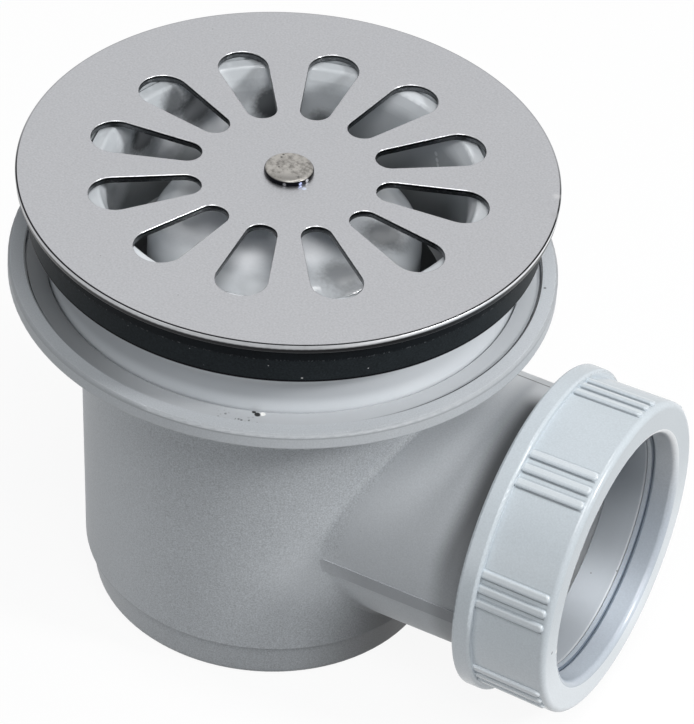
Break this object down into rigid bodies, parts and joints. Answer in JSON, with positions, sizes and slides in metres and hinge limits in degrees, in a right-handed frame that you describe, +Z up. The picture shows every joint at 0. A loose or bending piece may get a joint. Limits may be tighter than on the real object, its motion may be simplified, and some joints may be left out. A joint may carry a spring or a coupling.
{
  "type": "shower drain",
  "caption": "Shower drain with a slotted steel grate, lift-out bell trap, clamped tray flange and side outlet with a ribbed union nut.",
  "frame": {"origin": "centre of the cup's underside, on the floor it stands on", "axes": "+Z up along the drain's axis, +X along the side outlet"},
  "size_m": [0.1058, 0.0868, 0.082],
  "materials": {
    "steel": "brushed",
    "pin_steel": "satin",
    "white_plastic": "gloss",
    "grey_plastic": "fine grain",
    "nut_plastic": "gloss",
    "black_rubber": "satin",
    "grey_rubber": "satin"
  },
  "bodies": {
    "body": {"trap_body": "grey_plastic", "flange_gasket": "grey_rubber"},
    "tray_ring": {"tray_seal": "black_rubber"},
    "collar": {"clamp_collar": "white_plastic", "trap_bowl": "white_plastic", "bowl_o_ring": "black_rubber", "bell": "white_plastic", "grate": "steel", "grate_pin": "pin_steel", "pin_clip": "pin_steel"},
    "washer": {"slip_washer": "grey_plastic", "outlet_seal": "grey_rubber"},
    "nut": {"union_nut": "nut_plastic"}
  },
  "joints": [
    {"name": "collar_rise", "type": "slide", "parent": "body", "child": "tray_ring", "axis": [0, 0, 1], "range_m": [0, 0.012]},
    {"name": "collar_turn", "type": "hinge", "parent": "tray_ring", "child": "collar", "pos_m": [0, 0, 0.0798], "axis": [0, 0, 1], "range_deg": [0, 1440]},
    {"name": "nut_slide", "type": "slide", "parent": "body", "child": "washer", "axis": [1, 0, 0], "range_m": [0, 0.009]},
    {"name": "nut_turn", "type": "hinge", "parent": "washer", "child": "nut", "pos_m": [0.0545, 0, 0.02975], "axis": [1, 0, 0], "range_deg": [0, 1080]}
  ],
  "couplings": [
    {"joint": "collar_rise", "follows": "collar_turn", "m_per_rad": 0.00047746},
    {"joint": "nut_slide", "follows": "nut_turn", "m_per_rad": 0.00047746}
  ]
}
